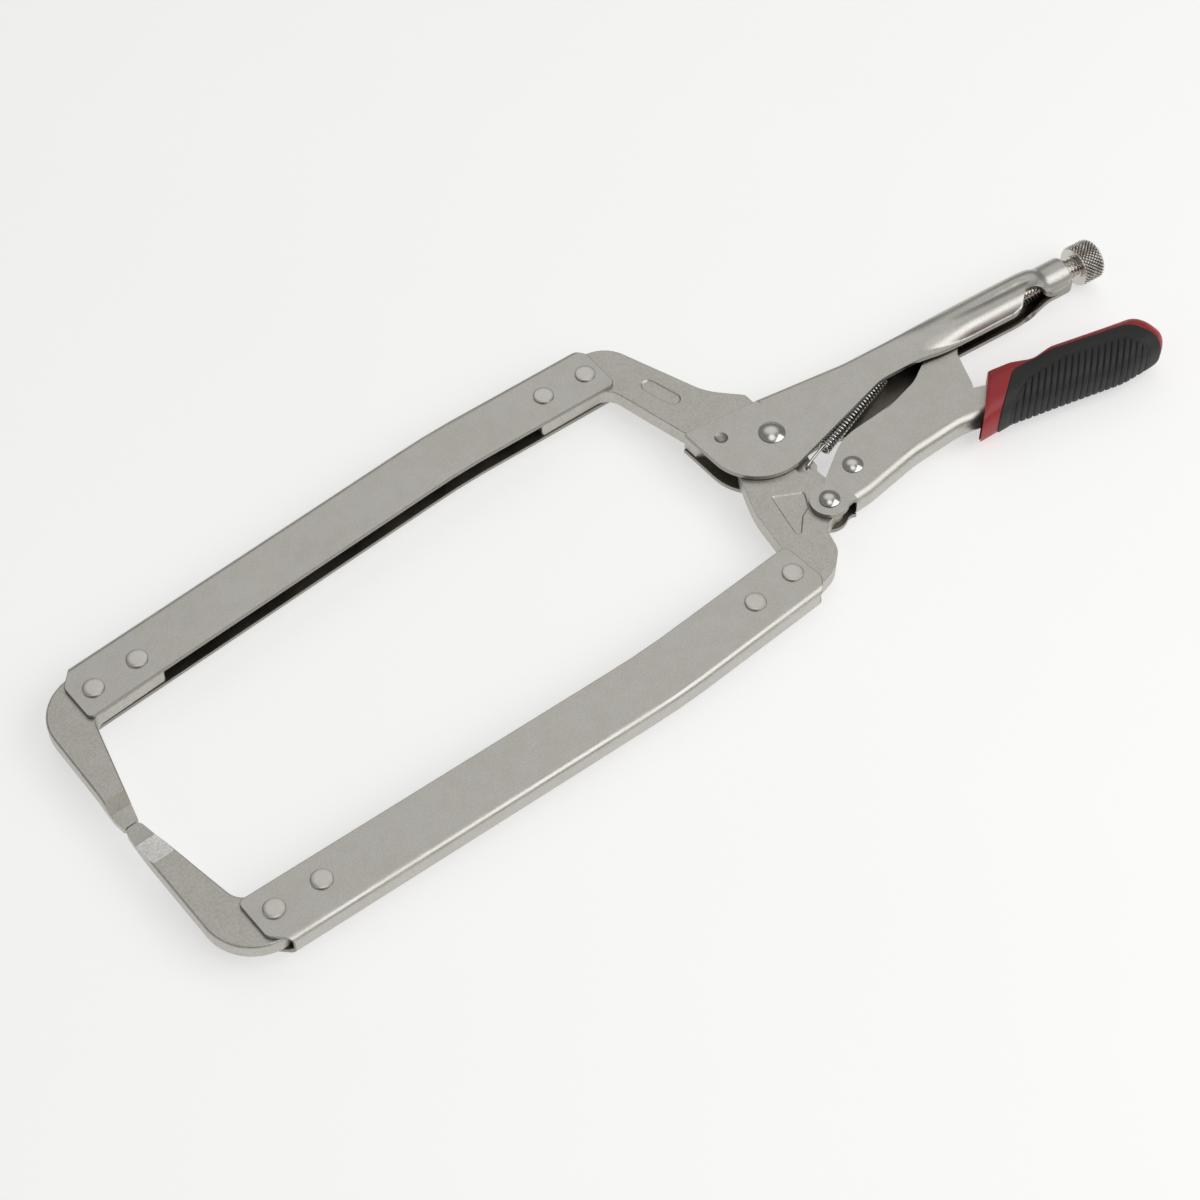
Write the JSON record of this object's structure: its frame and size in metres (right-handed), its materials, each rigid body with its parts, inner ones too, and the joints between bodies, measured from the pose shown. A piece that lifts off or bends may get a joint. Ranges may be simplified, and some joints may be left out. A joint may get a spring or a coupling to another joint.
{
  "type": "locking c clamp",
  "caption": "Long-reach locking C clamp: folded-sheet arms riveted to forged jaws and noses, an over-centre toggle, a knurled adjusting screw and a two-colour grip.",
  "frame": {"origin": "centre of the closed clamp's bounding box, at its underside: the clamp lies flat on its side on z = 0", "axes": "+X from the noses to the adjusting knob, +Y from the moving side to the fixed side, +Z the clamp's thickness"},
  "size_m": [0.4541, 0.1551, 0.021],
  "materials": {
    "plated_sheet": "satin nickel plate on folded sheet",
    "plated_forging": "satin nickel plate over a blasted forging",
    "bright_steel": "bright plate",
    "spring_steel": "dark oiled spring wire",
    "grip_red": "moulded red plastic with a soft sheen",
    "grip_black": "matt black soft overmould with fine ribs"
  },
  "bodies": {
    "fixed_side": {"fixed_handle": "plated_sheet", "fixed_jaw": "plated_forging", "upper_arm": "plated_sheet", "upper_nose": "plated_forging", "main_pivot_rivet": "bright_steel", "upper_rivet_1": "bright_steel", "upper_rivet_2": "bright_steel", "upper_rivet_3": "bright_steel", "upper_rivet_4": "bright_steel", "return_spring": "spring_steel"},
    "jaw_side": {"moving_jaw": "plated_forging", "lower_arm": "plated_sheet", "lower_nose": "plated_forging", "lower_rivet_1": "bright_steel", "lower_rivet_2": "bright_steel", "lower_rivet_3": "bright_steel", "lower_rivet_4": "bright_steel"},
    "handle_side": {"moving_handle": "plated_sheet", "handle_rivet": "bright_steel", "link_rivet": "bright_steel", "grip_core": "grip_red", "grip_cover": "grip_black"},
    "link": {"toggle_link": "plated_forging"},
    "screw": {"adjusting_screw": "bright_steel"},
    "knob": {"knurled_knob": "bright_steel"}
  },
  "joints": [
    {"name": "jaw_pivot", "type": "hinge", "parent": "fixed_side", "child": "jaw_side", "pos_m": [0.0626, -0.0067, 0.0105], "axis": [0, 0, 1], "range_deg": [0, 20], "deforming": ["return_spring"]},
    {"name": "handle_pivot", "type": "hinge", "parent": "jaw_side", "child": "handle_side", "pos_m": [0.0576, -0.0447, 0.0105], "axis": [0, 0, 1], "range_deg": [-82.5, 0]},
    {"name": "link_pivot", "type": "hinge", "parent": "handle_side", "child": "link", "pos_m": [0.0756, -0.0379, 0.0105], "axis": [0, 0, 1], "range_deg": [0, 76.5]},
    {"name": "screw_slide", "type": "slide", "parent": "fixed_side", "child": "screw", "axis": [0.9951, -0.0993, 0], "range_m": [0, 0.03]},
    {"name": "knob_turn", "type": "hinge", "parent": "screw", "child": "knob", "pos_m": [0.2111, -0.0145, 0.0105], "axis": [0.9951, -0.0993, 0], "range_deg": [0, 7210]}
  ],
  "couplings": [
    {"joint": "handle_pivot", "follows": "jaw_pivot", "ratio": -4.1},
    {"joint": "link_pivot", "follows": "jaw_pivot", "ratio": 3.8},
    {"joint": "knob_turn", "follows": "screw_slide", "rad_per_m": 4188.8}
  ]
}
